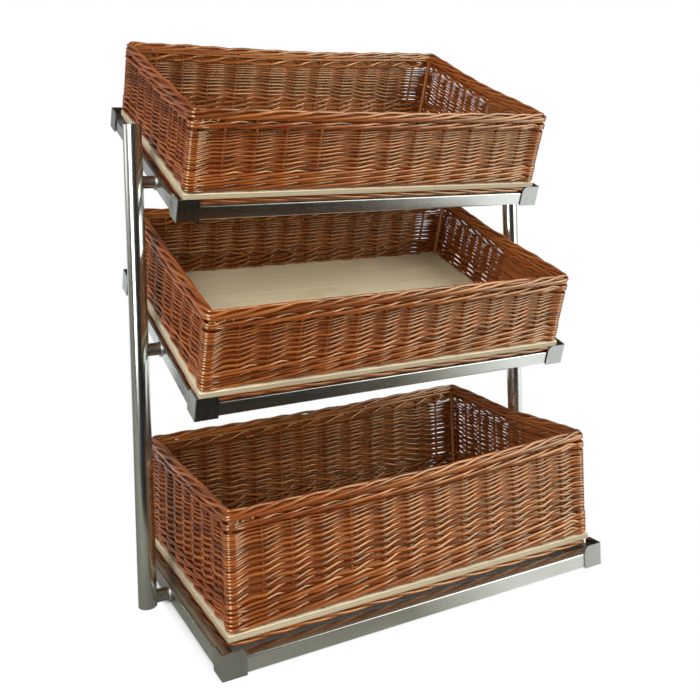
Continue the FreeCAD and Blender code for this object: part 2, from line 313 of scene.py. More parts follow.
def streak_group():
    """Long streaks: noise drawn out along the first axis. Used for willow, ply and brushed steel."""
    name = "Drawn Streaks"
    if name in bpy.data.node_groups:
        return bpy.data.node_groups[name]
    group = bpy.data.node_groups.new(name, "ShaderNodeTree")
    group.interface.new_socket("Vector", in_out="INPUT", socket_type="NodeSocketVector")
    for socket in ("Along", "Across", "Detail", "Low", "High"):
        group.interface.new_socket(socket, in_out="INPUT", socket_type="NodeSocketFloat")
    group.interface.new_socket("Mask", in_out="OUTPUT", socket_type="NodeSocketFloat")
    source = group.nodes.new("NodeGroupInput").outputs
    result = group.nodes.new("NodeGroupOutput")
    scale = add(group, "CombineXYZ", {"X": source["Along"], "Y": source["Across"], "Z": source["Across"]})
    place = add(group, "VectorMath", {0: source["Vector"], 1: scale.outputs[0]}, operation="MULTIPLY")
    cloud = noise(group, place.outputs[0], 1.0, source["Detail"])
    group.links.new(remap(group, cloud, source["Low"], source["High"]), result.inputs["Mask"])
    return group


def streaks(tree, vector, along, across, low=0.35, high=0.65, detail=3.0):
    """The mask of the streak group with these values."""
    values = {"Vector": vector, "Along": along, "Across": across, "Detail": detail, "Low": low, "High": high}
    return add(tree, "Group", values, node_tree=streak_group()).outputs["Mask"]


def new_material(name):
    """An empty material and its tree."""
    material = bpy.data.materials.new(name)
    material.use_nodes = True
    return material, material.node_tree


def finished(material, inputs):
    """The material, with these inputs given to its Principled shader."""
    feed(material.node_tree, material.node_tree.nodes["Principled BSDF"], inputs)
    return material


def new_object(name, data):
    """A new object in the scene."""
    made = bpy.data.objects.new(name, data)
    bpy.context.scene.collection.objects.link(made)
    return made


def new_mesh(name, points, faces, material, smooth=0):
    """A mesh of one material; its first so many faces are smooth."""
    mesh = bpy.data.meshes.new(name)
    mesh.from_pydata(points, [], faces)
    mesh.polygons.foreach_set("use_smooth", np.arange(len(faces)) < smooth)
    mesh.materials.append(material)
    return mesh


def turned_place(tree, axes):
    """The point in the three axes given."""
    place = add(tree, "TexCoord").outputs["Object"]
    return add(tree, "CombineXYZ", enumerate([dot(tree, place, axis) for axis in axes])).outputs[0]


# --- Materials ---


def willow_material(name, colours, paleness):
    """Boiled willow: a tone for each rod, with streaks and bud rings, and painted shade that darkens each rod along its
    sides towards its neighbours, leaving the faces turned out and in lighter.
    """
    material, tree = new_material(name)
    grain = attribute(tree, "grain", "Vector")
    long_streaks = streaks(tree, grain, 9.0, 300.0)
    fine_streaks = streaks(tree, grain, 60.0, 1600.0, 0.3, 0.7, 4.0)
    tone = maths(tree, "MULTIPLY_ADD", attribute(tree, "shade"), 0.75, paleness)
    tone = maths(tree, "MULTIPLY_ADD", long_streaks, 0.30, tone)
    base = ramp(tree, tone, (0.08, colours.dark), (0.5, colours.color), (1.0, colours.pale))
    bark = maths(tree, "SUBTRACT", 1.0, fine_streaks)
    rings = maths(tree, "GREATER_THAN", noise(tree, grain, 26.0, 1.0), 0.70)
    # Painted shade: each rod is darkened along its sides, where it lies against its neighbours, by how far a point
    # turns away from facing out or in.
    groove_shade = remap(tree, attribute(tree, "crest"), 0.1, 0.85, 0.75, 0.0)
    base = layered(tree, base, (bark, 0.35, colours.dark), (rings, 0.45, colours.dark), (groove_shade, 1.0, colours.dark))
    base = blend_colours(tree, maths(tree, "GREATER_THAN", attribute(tree, "cut"), 0.9), base, colours.cut)
    glance = add(tree, "LayerWeight", {"Blend": 0.5}).outputs["Facing"]
    gloss = {"IOR": 1.64, "Specular IOR Level": remap(tree, glance, 0.2, 0.65, 1.0, 0.25)}
    gloss |= {"Roughness": remap(tree, fine_streaks, 0.0, 1.0, 0.28, 0.19), "Specular Tint": (1.0, 0.975, 0.62, 1.0)}
    return finished(material, {"Base Color": base, "Normal": bump(tree, fine_streaks, 0.15, 0.0002), **gloss})


def plywood_material(name, basket, colours):
    """Bare birch ply: fine grain along the board on its faces, stacked plies on its edges, and the edges darkened with
    painted shade.
    """
    material, tree = new_material(name)
    place = turned_place(tree, basket.axes)
    low, high = (value[2] for value in basket.spread("base_board"))
    level = remap(tree, add(tree, "SeparateXYZ", {0: place}).outputs["Z"], low, high)
    # Painted shade: the board's edges are given the dark edge colour so that, facing the lights, they come out no
    # brighter than the faces.
    sawn = ramp(tree, level, (0.0, 0.0), (0.04, 0.8), (0.96, 0.8), (1.0, 0.0))
    wobble = maths(tree, "MULTIPLY_ADD", noise(tree, place, 40.0, 2.0), 0.12, -0.06)
    level = maths(tree, "ADD", level, wobble)
    plies = ramp(tree, level, (0.30, 0.0), (0.36, 1.0), (0.66, 1.0), (0.72, 0.0))
    glue = ramp(tree, level, (0.27, 0.0), (0.31, 1.0), (0.35, 0.0), (0.67, 0.0), (0.71, 1.0), (0.75, 0.0))
    grain = streaks(tree, place, 5.0, 160.0, 0.3, 0.7, 4.0)
    fine = streaks(tree, place, 25.0, 900.0, 0.25, 0.75, 3.0)
    stain = ramp(tree, noise(tree, place, 9.0, 5.0), (0.52, 0.0), (0.72, 0.4))
    base = layered(tree, colours.face, (grain, 0.35, colours.core), (sawn, 1.0, colours.edge))
    base = layered(tree, base, (plies, 0.35, colours.core), (glue, 0.20, colours.dirt), (stain, 1.0, colours.dirt))
    return finished(material, {"Base Color": base, "Roughness": 0.62, "Normal": bump(tree, fine, 0.3, 0.0003)})


def steel_material(name, color, roughness, axes):
    """Stainless steel brushed along the first of three axes."""
    material, tree = new_material(name)
    place = turned_place(tree, axes)
    lines = streaks(tree, place, 7.0, 2600.0, 0.25, 0.75, 2.0)
    smears = streaks(tree, place, 6.0, 45.0, 0.35, 0.7, 4.0)
    worn = ramp(tree, smears, (0.0, tuple(0.90 * c for c in color)), (1.0, tuple(color)))
    soft = maths(tree, "MULTIPLY_ADD", noise(tree, place, 14.0, 3.0), 0.5 * roughness, -0.25 * roughness)
    rough = maths(tree, "ADD", maths(tree, "MULTIPLY_ADD", lines, 0.10, roughness - 0.05), soft)
    relief = bump(tree, lines, 0.06, 0.0001)
    return finished(material, {"Base Color": worn, "Metallic": 1.0, "Roughness": rough, "Normal": relief})


def weld_material(colours):
    """Bright, rippled weld bead."""
    material, tree = new_material("weld bead")
    ripples = noise(tree, add(tree, "TexCoord").outputs["Object"], 520.0, 2.0)
    tone = ramp(tree, ripples, (0.3, tuple(0.72 * c for c in colours.weld)), (0.7, tuple(colours.weld)))
    relief = bump(tree, ripples, 0.4, 0.0004)
    return finished(material, {"Base Color": tone, "Metallic": 1.0, "Roughness": 0.34, "Normal": relief})


# --- Round rods ---


class RodBundle:
    """Gathers round rods and makes one mesh of them, with grain, tones and bake map."""

    CUT_EDGE = 0.2 * MM
    CAP_SIDE = 0.9
    STRIP_FILL = 0.92
    CELL_SHAPE = 3.0

    def __init__(self, basket, seed):
        self.basket = basket
        self.sides = basket.willow.sides
        self.chance = np.random.default_rng(seed + TIERS.index(basket.tier))
        self.points, self.grain, self.shades, self.cuts, self.crests, self.rings = ([] for _ in range(6))

    def add(self, line, outward, radius):
        """One rod along a line; outward is the direction of each ring's first corner."""
        radius = np.broadcast_to(radius, len(line))
        run = np.gradient(line, axis=0)
        run /= np.linalg.norm(run, axis=1)[:, None]
        doubled = np.pad(np.arange(len(line)), 1, "edge")
        line, radius, run, outward = line[doubled], radius[doubled], run[doubled], outward[doubled]
        line[0] -= run[0] * self.CUT_EDGE
        line[-1] += run[-1] * self.CUT_EDGE
        side = outward - np.sum(outward * run, axis=1)[:, None] * run
        side /= np.linalg.norm(side, axis=1)[:, None]
        over = np.cross(run, side)
        angle = np.linspace(0.0, math.tau, self.sides, endpoint=False)
        wave, cross = np.cos(angle)[:, None], np.sin(angle)[:, None]
        points = line[:, None] + radius[:, None, None] * (wave * side[:, None] + cross * over[:, None])
        self.points.append(points.reshape(-1, 3))
        aside = (radius[:, None] * wave[:, 0], radius[:, None] * cross[:, 0])
        grain = np.stack(np.broadcast_arrays(travelled(line)[:, None], *aside), -1)
        self.grain.append((grain + self.chance.uniform(0.0, 40.0, 3)).reshape(-1, 3))
        self.shades.append(np.full(len(line) * self.sides, self.chance.uniform()))
        cut = np.zeros((len(line), self.sides))
        cut[[0, -1]] = 1.0
        self.cuts.append(cut.ravel())
        # How far each point of a ring faces out or in; the willow turns this into painted shade along the rods' sides.
        self.crests.append(np.tile(np.abs(np.cos(angle)), len(line)))
        self.rings.append(len(line))

    def faces(self):
        """The quads along each rod, and the two caps of each."""
        quads, caps, first = [], [], 0
        column = np.arange(self.sides)
        after = (column + 1) % self.sides
        for count in self.rings:
            ring = first + self.sides * np.arange(count - 1)[:, None]
            quad = np.stack((ring + column, ring + after, ring + self.sides + after, ring + self.sides + column), -1)
            quads.append(quad.reshape(-1, 4))
            last = first + self.sides * (count - 1)
            caps += [(first + column[::-1]).tolist(), (last + column).tolist()]
            first += self.sides * count
        return np.concatenate(quads), caps

    def bake_corners(self, quads, caps):
        """Places every quad on strips that fill a square, with the caps in a last row."""
        sides = self.sides
        segments = len(quads) // sides
        columns = max(1, int(math.sqrt(segments * sides / self.CELL_SHAPE)))
        rows = math.ceil(segments / columns) + 1
        segment = np.repeat(np.arange(segments), sides)
        column, row = segment % columns, segment // columns
        flat = np.tile(np.arange(sides), segments)
        left, right = column / columns, (column + 1) / columns
        low = (row + self.STRIP_FILL * flat / sides) / rows
        high = (row + self.STRIP_FILL * (flat + 1) / sides) / rows
        corners = np.stack((left, low, left, high, right, high, right, low), -1).reshape(-1, 2)
        step = 1.0 / len(caps)
        angle = np.linspace(0.0, math.tau, sides, endpoint=False)
        circle = np.stack((np.cos(angle) * step, np.sin(angle) / rows), -1) * 0.5 * self.CAP_SIDE
        middle = np.stack(((np.arange(len(caps)) + 0.5) * step, np.full(len(caps), (rows - 0.5) / rows)), -1)
        return np.concatenate((corners, (middle[:, None] + circle).reshape(-1, 2)))

    def build(self, label, material, slot, stands_for=None):
        """The finished piece, in the row's frame, riding on its basket; it may stand for one of its solids."""
        quads, caps = self.faces()
        name = f"{self.basket.body}_{label}"
        points = np.concatenate(self.points) @ self.basket.axes
        mesh = new_mesh(name, points, quads.tolist() + caps, material, len(quads))
        grain = mesh.attributes.new("grain", "FLOAT_VECTOR", "POINT")
        grain.data.foreach_set("vector", np.concatenate(self.grain).ravel())
        for field, values in (("shade", self.shades), ("cut", self.cuts), ("crest", self.crests)):
            mesh.attributes.new(field, "FLOAT", "POINT").data.foreach_set("value", np.concatenate(values))
        bake = mesh.uv_layers.new(name=BAKE_MAP)
        bake.data.foreach_set("uv", self.bake_corners(quads, caps).ravel())
        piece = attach(new_object(name, mesh), self.basket.body)
        if stands_for:
            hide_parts(f"{self.basket.body}_{stands_for}")
        return piece


# --- The basket's own frame and the line of its wall ---


class Basket:
    """One basket's axes, the levels of its parts and the line of its wall, taken from its solids."""

    def __init__(self, tier, willow):
        self.tier = tier
        self.body = "basket_" + tier
        joint = next(j for j in frame["joints"] if j["child"] == self.body)
        across, up = np.array((1.0, 0.0, 0.0)), np.array(joint["axis"], float)
        self.axes = np.array((across, np.cross(up, across), up))
        self.willow = willow
        low, high = self.spread("siding")
        self.wall = Outline(low, high, willow.wall_depth, willow.wall_corner, self)
        self.board_top = self.spread("base_board")[1][2]
        self.rim_bottom = high[2]
        self.wale_top = self.board_top + LOWER_WALE[tier]
        self.randing_top = self.rim_bottom - willow.upper_wale

    def spread(self, part):
        """Lowest and highest reach of one of the basket's solids along the basket's own axes."""
        mesh = frame["nodes"][f"{self.body}_{part}"].data
        points = np.array([vertex.co[:] for vertex in mesh.vertices]) @ self.axes.T
        return points.min(axis=0), points.max(axis=0)

    def settle(self, bays, height):
        """Heights with the rise and sag of a hand-made wall, none at the board and all of it at the rim."""
        share = np.clip((height - self.board_top) / (self.rim_bottom - self.board_top), 0.0, 1.0)
        return height + self.wall.head_rise(bays) * share**2


class Outline:
    """A rounded rectangle walked anticlockwise from its front left corner, in bays from stake to stake."""

    ARC_POINTS = 13
    LEAST_STEP = 0.04

    def __init__(self, low, high, depth, radius, basket):
        """The line runs inside the box from low to high, so deep under its faces."""
        quarter = math.pi / 2
        half = (high - low) / 2 - depth
        x, y = half[0] - radius, half[1] - radius
        turns = ((-x, -y, 2.5, 3.0), (x, -y, 3.0, 4.0), (x, y, 4.0, 5.0), (-x, y, 5.0, 6.0), (-x, -y, 6.0, 6.5))
        points, normals = [], []
        for turn_x, turn_y, start, end in turns:
            angle = np.linspace(start * quarter, end * quarter, self.ARC_POINTS)
            normal = np.stack((np.cos(angle), np.sin(angle)), -1)
            normals.append(normal)
            points.append(np.array((turn_x, turn_y)) + radius * normal)
        self.points = np.concatenate(points) + ((low + high) / 2)[:2]
        self.normals = np.concatenate(normals)
        self.travel = travelled(self.points)
        self.length = self.travel[-1]
        self.tier = basket.tier
        self.place_stakes(basket.willow, half, radius)

    def place_stakes(self, willow, half, radius):
        """Where each stake stands along the line, corners included, and which of them are corners."""
        arc = radius * math.pi / 4
        front, side = (2 * (reach - radius) + 2 * arc for reach in half[:2])
        fractions = np.concatenate(([0.0], FRONT_STAKES[self.tier], [1.0]))
        even = np.linspace(0.0, 1.0, willow.side_bays + 1)
        walls = ((0.0, front, fractions), (front, side, even), (front + side, front, 1.0 - fractions[::-1]))
        walls += ((2 * front + side, side, even),)
        self.stakes = np.concatenate([start + span * share[:-1] for start, span, share in walls] + [[self.length]])
        counts = [len(share) - 1 for _, _, share in walls]
        self.corners = np.cumsum([0] + counts[:-1])
        self.bays = len(self.stakes) - 1
        self.hold = np.zeros(self.bays)
        self.hold[self.corners] = willow.corner_hold
        self.waist = willow.corner_waist
        grid = [np.arange(self.bays * willow.steps) / willow.steps]
        bends = [arc * share for share in (-1.0, -0.5, 0.5, 1.0)] + [-willow.corner_hold, willow.corner_hold]
        for corner in self.corners:
            at = (self.stakes[corner] + np.array(bends)) % self.length
            grid.append(np.interp(at, self.stakes, np.arange(self.bays + 1)))
        self.grid = np.unique(np.round(np.concatenate(grid), 5))

    def stretch(self, start, end):
        """The sampling places, in bays, from start to end; past the last bay they go on round."""
        rounds = range(math.floor(start / self.bays), math.ceil(end / self.bays) + 1)
        places = np.concatenate([self.grid + k * self.bays for k in rounds])
        inside = places[(places > start + self.LEAST_STEP) & (places < end - self.LEAST_STEP)]
        return np.concatenate(([start], inside, [end]))

    def line(self, bays, out, height):
        """The line of a rod and its outward directions, from places in bays, distances out and heights."""
        travel = np.interp(np.mod(bays, self.bays), np.arange(self.bays + 1), self.stakes)
        both = (self.points, self.normals)
        point, normal = (np.stack([np.interp(travel, self.travel, axis) for axis in part.T], -1) for part in both)
        normal /= np.linalg.norm(normal, axis=1)[:, None]
        flat = point + normal * np.broadcast_to(out, len(bays))[:, None]
        line = np.column_stack((flat, np.broadcast_to(height, len(bays))))
        return line, np.column_stack((normal, np.zeros(len(bays))))

    def is_corner(self, stake):
        return np.isin(np.asarray(stake) % self.bays, self.corners)

    def swing(self, bays, first, second):
        """Goes from the distance out at one stake to that at the next; flat, then drawn in, beside a corner."""
        near = np.floor(bays).astype(int)
        span = np.diff(self.stakes)[near % self.bays]
        before = self.hold[near % self.bays] / span
        after = self.hold[(near + 1) % self.bays] / span
        share = np.clip((bays - near - before) / (1.0 - before - after), 0.0, 1.0)
        waist = self.waist * (before + after > 0.0) * np.sin(math.pi * share)
        return first + (second - first) * np.interp(share, *zip(*PASS)) - waist

    def head_rise(self, bays):
        """How far the wall's head rises, eased between the corners and the walls' middles."""
        corners = np.append(self.corners, self.bays)
        middles = (corners[1:] + corners[:-1]) / 2
        knots = np.append(np.column_stack((corners[:-1], middles)).ravel(), self.bays)
        rises = np.append(HEAD_RISE[self.tier], HEAD_RISE[self.tier][0]) * MM
        rest = np.mod(bays, self.bays)
        near = np.clip(np.searchsorted(knots, rest, side="right") - 1, 0, len(rises) - 2)
        return eased(rises[near], rises[near + 1], (rest - knots[near]) / (knots[near + 1] - knots[near]))


def baskets():
    """The three baskets."""
    return [Basket(tier, bpy.context.scene.rack_willow) for tier in TIERS]


def eased(first, second, share):
    """Goes from first to second along half a wave."""
    return first + (second - first) * (1 - np.cos(math.pi * share)) / 2


def travelled(points):
    """How far along a line of points each of them lies."""
    return np.concatenate(([0.0], np.cumsum(np.linalg.norm(np.diff(points, axis=0), axis=1))))


def wander(bays, chance, size):
    """A slow, small drift along a rod."""
    phase = chance.uniform(0.0, math.tau, 2)
    turns = bays / WANDER_BAYS
    return size * (np.sin(turns * math.tau + phase[0]) + 0.6 * np.sin(turns * 4.9 + phase[1])) / 1.6


# --- Parts of a basket ---


def weave_randing(basket):
    """The wall itself: one rod starts behind every stake and climbs, in front of one stake and behind the next."""
    willow, wall = basket.willow, basket.wall
    bundle = RodBundle(basket, 11)
    chance = bundle.chance
    strokes = RANDING_STROKES[basket.tier]
    along = np.arange(strokes + 1)
    share_of_wall = np.linspace(1.0, willow.taper, strokes + 1)
    room = basket.randing_top - basket.wale_top
    pitch = share_of_wall * room / (share_of_wall.sum() - share_of_wall[-1] / 2)
    diameter = willow.fullness * pitch
    level = basket.wale_top + pitch[0] * 0.1 + np.concatenate(([0.0], np.cumsum((pitch[1:] + pitch[:-1]) / 2)))
    uneven = chance.normal(0.0, UNEVEN_ROW, (wall.bays, strokes + 1))
    for start in range(wall.bays):
        bays = wall.stretch(start - WEAVER_BUTT, start + strokes + WEAVER_TIP)
        passed = np.clip(bays - start, 0.0, strokes - 1e-6)
        stroke = passed.astype(int)
        reach = (willow.stake + diameter) / 2 * WEAVER_REACH
        out = np.where(along % 2 == 1, reach, -reach) + chance.normal(0.0, UNEVEN_REACH, strokes + 1)
        out = np.where(wall.is_corner(start + along), willow.wall_depth - CORNER_INSET - diameter / 2, out)
        height = level + uneven[(start + along) % wall.bays, along]
        climb = np.interp(passed - stroke, *zip(*STROKE_CLIMB))
        height = height[stroke] + (height[stroke + 1] - height[stroke]) * climb
        height += wander(bays, chance, 0.15 * MM)
        offset = wall.swing(start + passed, out[stroke], out[stroke + 1])
        offset -= WEAVER_TUCK * np.clip(start - bays, 0.0, 1.0) / WEAVER_BUTT
        radius = np.interp(passed, along, diameter) / 2 * chance.uniform(*UNEVEN_ROD)
        bundle.add(*wall.line(bays, offset, basket.settle(bays, height)), radius)
    pack_wall(bundle, pitch, level)
    return bundle


def pack_wall(bundle, pitch, level):
    """Level rods, one in every row, that close the wall as beaten-down weaving does.

    They lie inside the front and left walls and outside the back one, and are thin round the back right corner.
    """
    basket, wall = bundle.basket, bundle.basket.wall
    low = np.arange(basket.board_top + pitch[0] / 2, level[0], pitch[0])
    high = np.arange(level[-1], basket.rim_bottom, pitch[-1])
    heights = np.concatenate((low, level, high))
    rods = np.pad(pitch, (len(low), len(high)), "edge")
    back_right, back_left = wall.corners[2:4]
    bays = np.arange(back_right, back_right + wall.bays + 0.1, 0.5)
    out = PACK_SHIFT * np.interp(bays, (back_left - 1.0, back_left + 1.0), (1.0, -1.0))
    thin = (bays < back_right + THIN_AFTER) | (bays > back_right + wall.bays - THIN_BEFORE)
    size = np.where(thin, THIN_RADIUS, PACK_RADIUS)
    for height, rod in zip(heights, rods):
        bundle.add(*wall.line(bays, out, basket.settle(bays, height)), rod * size)


def weave_wale(basket, bottom, top, rounds, seed):
    """Rounds of three rods that travel together, each in front of two stakes and behind one."""
    willow, wall = basket.willow, basket.wall
    bundle = RodBundle(basket, seed)
    chance = bundle.chance
    row = (top - bottom - (0.3 if rounds > 1 else 0.75) * willow.wale_rod) / (2 * rounds)
    rod = min(willow.wale_rod, 0.98 * row) if rounds > 1 else willow.wale_rod
    reach = (willow.stake + rod) / 2 * WALE_REACH
    length = 3 * (wall.bays // 3)
    for lap in range(rounds):
        for strand in range(3):
            seam = int(wall.corners[-1]) + strand
            for start in range(0, length, WALE_PIECE):
                first, last = seam + start, seam + min(start + WALE_PIECE, length)
                bays = wall.stretch(first - WALE_END, last + WALE_END)
                near = np.floor(bays).astype(int)
                stakes = np.stack((near, near + 1))
                out = np.where((stakes - seam) % 3 == 0, -reach, reach)
                out = np.where(wall.is_corner(stakes), willow.wall_depth - rod / 2, out)
                offset = wall.swing(bays, out[0], out[1])
                offset -= WALE_TUCK * (np.clip(first - bays, 0, 1) + np.clip(bays - last, 0, 1)) / WALE_END
                climb = np.interp((bays - seam) % 3, *zip(*WALE_CLIMB))
                height = bottom + rod / 2 + row * (climb + 2 * lap) + wander(bays, chance, 0.3 * MM)
                height = np.maximum(height, bottom + rod * 0.45)
                thick = rod / 2 * (1.04 - 0.14 * (bays - first) / WALE_PIECE) * chance.uniform(*UNEVEN_ROD)
                bundle.add(*wall.line(bays, offset, basket.settle(bays, height)), thick)
    return bundle


def plant_stakes(basket):
    """Upright stakes, which pass through the board into the foot, and a stout post in each corner."""
    willow, wall = basket.willow, basket.wall
    bundle = RodBundle(basket, 41)
    chance = bundle.chance
    foot_low, foot_high = basket.spread("foot_border")
    bottom = (foot_low[2] + foot_high[2]) / 2
    height = np.linspace(bottom, basket.rim_bottom + 2 * MM, 14)
    for stake in range(wall.bays):
        corner = wall.is_corner(stake)
        radius = (willow.corner_post if corner else willow.stake) / 2
        sway = chance.normal(0.0, 0.012) * np.sin(np.linspace(0.0, math.pi, len(height)))
        bays = stake + (0.0 if corner else 1.0) * sway
        out = -willow.wall_corner if corner else 0.0
        thick = radius * np.linspace(1.05, 0.92, len(height))
        bundle.add(*wall.line(bays, out, basket.settle(bays, height)), thick)
    return bundle


def border(basket, part, width, corner, rod):
    """A border's middle line, its lowest and highest levels, and how far the rods in it reach out and up."""
    low, high = basket.spread(part)
    path = Outline(low, high, width / 2, corner, basket)
    return path, low[2], high[2], (width - rod) / 2, (high[2] - low[2] - rod) / 2


def roll_rim(basket):
    """Every stake's rod bends to the right, climbs the rim's outer face and goes over its top to the inside."""
    bundle = RodBundle(basket, 51)
    chance = bundle.chance
    rod = basket.willow.rim_rod
    path, low, high, reach_out, reach_up = border(basket, "rim_border", RIM_WIDTH, RIM_CORNER, rod)
    middle = (low + high) / 2
    leaves = basket.rim_bottom - 2.5 * MM
    for stake in range(path.bays):
        run = RIM_RUN + chance.uniform(-RIM_RUN_SPREAD, RIM_RUN_SPREAD)
        bays = path.stretch(stake, stake + run)
        gone = bays - stake
        late = chance.normal(0.0, 0.12)
        turn = np.radians(np.interp(gone - late, *zip(*RIM_TURN))) + wander(bays, chance, 0.09)
        swell = chance.normal(1.0, 0.04) * np.interp(gone, *zip(*RIM_SWELL))
        height = middle + swell * reach_up * np.sin(turn)
        rising = np.clip((gone - 0.02) / 0.28, 0.0, 1.0)
        height = middle + eased(leaves - middle, height - middle, rising)
        out = eased(0.0, swell * reach_out * np.cos(turn), np.clip(gone / 0.3, 0.0, 1.0))
        thick = rod / 2 * np.interp(gone, (0.0, 0.5, run), (0.80, 1.0, 0.78)) * chance.uniform(0.90, 1.06)
        line, outward = path.line(bays, out, height + path.head_rise(bays))
        bundle.add(line, np.cos(turn)[:, None] * outward + np.sin(turn)[:, None] * UPRIGHT, thick)
    bays = path.stretch(0.0, path.bays)
    for level, out, size in RIM_CORE:
        height = low + level * (high - low) + path.head_rise(bays)
        bundle.add(*path.line(bays, out * MM, height), size * rod / 2)
    for corner in path.corners:
        tuck_ends(bundle, path, corner, reach_out)
    return bundle


def tuck_ends(bundle, path, corner, reach_out):
    """The cut ends of the last rods, tucked under the rim beside a corner and pointing out."""
    chance = bundle.chance
    for k in range(3):
        bays = np.full(4, corner + 0.16 + 0.24 * k + chance.uniform(-0.06, 0.06))
        out = np.linspace(-0.6, 1.0, 4) * reach_out + 1.5 * MM
        height = bundle.basket.rim_bottom + chance.uniform(1.0, 3.5) * MM + np.linspace(-1.5, 0.0, 4) * MM
        line, _ = path.line(bays, out, height + path.head_rise(bays))
        bundle.add(line, np.tile(UPRIGHT, (len(line), 1)), 1.8 * MM)


def twist_rope(basket):
    """Three rods laid into the rope under the board; the lay is the length of a turn in bays."""
    bundle = RodBundle(basket, 61)
    chance = bundle.chance
    rod, strands, lay = basket.willow.foot_rod, 3, -3.5
    path, low, high, reach_out, reach_up = border(basket, "foot_border", FOOT_WIDTH, FOOT_CORNER, rod)
    bays = path.stretch(0.0, path.bays)
    fade = np.sin(np.clip(np.minimum(bays, path.bays - bays), 0.0, 0.5) * math.pi)
    for strand in range(strands):
        turn = math.tau * (strand / strands + bays / lay) + wander(bays, chance, 0.16) * fade
        height = (low + high) / 2 + reach_up * np.sin(turn)
        bundle.add(*path.line(bays, reach_out * np.cos(turn), height), rod / 2 * chance.uniform(0.93, 1.03))
    return bundle


def bead_ring(name, centre, axis, radius, thickness, material):
    """A rippled weld bead round a stub."""
    steps, sides = 48, 8
    axis = Vector(axis).normalized()
    first = axis.orthogonal().normalized()
    second = axis.cross(first)
    points, faces = [], []
    for k in range(steps):
        turn = math.tau * k / steps
        out = first * math.cos(turn) + second * math.sin(turn)
        size = thickness / 2 * (1 + 0.10 * math.sin(17 * turn) + 0.06 * math.sin(29 * turn + 1))
        for j in range(sides):
            lap = math.tau * j / sides
            points.append(centre + out * (radius + size * math.cos(lap)) + axis * size * math.sin(lap))
            here, there = k * sides, (k + 1) % steps * sides
            faces.append((here + j, there + j, there + (j + 1) % sides, here + (j + 1) % sides))
    mesh = new_mesh(name, points, faces, material, len(faces))
    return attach(new_object(name, mesh), "stand")


# --- Operators ---


class RACK_OT_stage(Operator):
    """Set the camera, the soft lights, the surroundings and the pale floor"""

    bl_idname = "rack.stage"
    bl_label = "Stage"

    def execute(self, context):
        studio = context.scene.rack_studio
        context.scene.view_settings.view_transform = "Standard"
        place_camera(context.scene, studio)
        place_light("key light", studio.key, azimuth=47, elevation=22, distance=2.6, size=(1.6, 3.3))
        place_light("fill light", studio.fill, azimuth=-56, elevation=16, distance=2.0, size=(0.8, 2.0))
        surroundings(context.scene, studio)
        lay_floor()
        return {"FINISHED"}


def place_camera(scene, studio):
    """The camera from its place, yaw, pitch and roll."""
    camera = new_object("camera", bpy.data.cameras.new("camera"))
    scene.camera = camera
    camera.data.sensor_width = 36.0
    camera.data.lens = studio.focal
    camera.data.shift_x, camera.data.shift_y = studio.shift_x, studio.shift_y
    angles = (studio.yaw, studio.pitch, studio.roll)
    (sin_yaw, cos_yaw), (sin_pitch, cos_pitch), (sin_roll, cos_roll) = ((math.sin(a), math.cos(a)) for a in angles)
    ahead = Vector((sin_yaw * cos_pitch, cos_yaw * cos_pitch, -sin_pitch))
    level = Vector((cos_yaw, -sin_yaw, 0.0))
    above = level.cross(ahead)
    turn = Matrix((cos_roll * level + sin_roll * above, cos_roll * above - sin_roll * level, -ahead)).transposed()
    camera.matrix_world = Matrix.Translation(studio.place) @ turn.to_4x4()


def place_light(name, power, azimuth, elevation, distance, size):
    """A large soft light; azimuth runs from the front to the right, both angles in degrees."""
    lamp = bpy.data.lights.new(name, "AREA")
    lamp.shape = "RECTANGLE"
    lamp.size, lamp.size_y = size
    lamp.energy = power
    a, e = math.radians(azimuth), math.radians(elevation)
    towards = Vector((math.sin(a) * math.cos(e), -math.cos(a) * math.cos(e), math.sin(e)))
    light = new_object(name, lamp)
    light.location = Vector(LIGHTS_AIM) + towards * distance
    light.rotation_euler = towards.to_track_quat("Z", "Y").to_euler()
    light.visible_camera = False


def surroundings(scene, studio):
    """White behind the rack, an even ambient light, and a room with a dark front for the steel."""
    world = bpy.data.worlds.new("studio")
    world.use_nodes = True
    scene.world = world
    tree = world.node_tree
    rays = add(tree, "LightPath").outputs
    towards = add(tree, "TexCoord").outputs["Generated"]
    height = add(tree, "SeparateXYZ", {0: towards}).outputs["Z"]
    room = ramp(tree, dot(tree, towards, (0.10, -0.995, 0.0)), (0.70, 0.47), (0.92, 0.055))
    room = maths(tree, "MULTIPLY", room, remap(tree, height, 0.08, 0.35, 1.0, 0.35))
    band = remap(tree, dot(tree, towards, (-0.914, 0.407, 0.0)), 0.955, 0.98, 0.0, 1.8)
    front = remap(tree, dot(tree, towards, (0.1, -0.97, 0.2)), 0.5, 1.0, 0.0, 3.2)
    ambient = maths(tree, "ADD", remap(tree, height, 0.2, 1.0, 0.85, 3.8), front)
    ambient = maths(tree, "MULTIPLY", ambient, studio.ambient)
    light = blend_colours(tree, rays["Is Glossy Ray"], ambient, maths(tree, "ADD", room, band))
    light = blend_colours(tree, rays["Is Camera Ray"], light, (1.0, 1.0, 1.0))
    tree.links.new(light, tree.nodes["Background"].inputs["Color"])


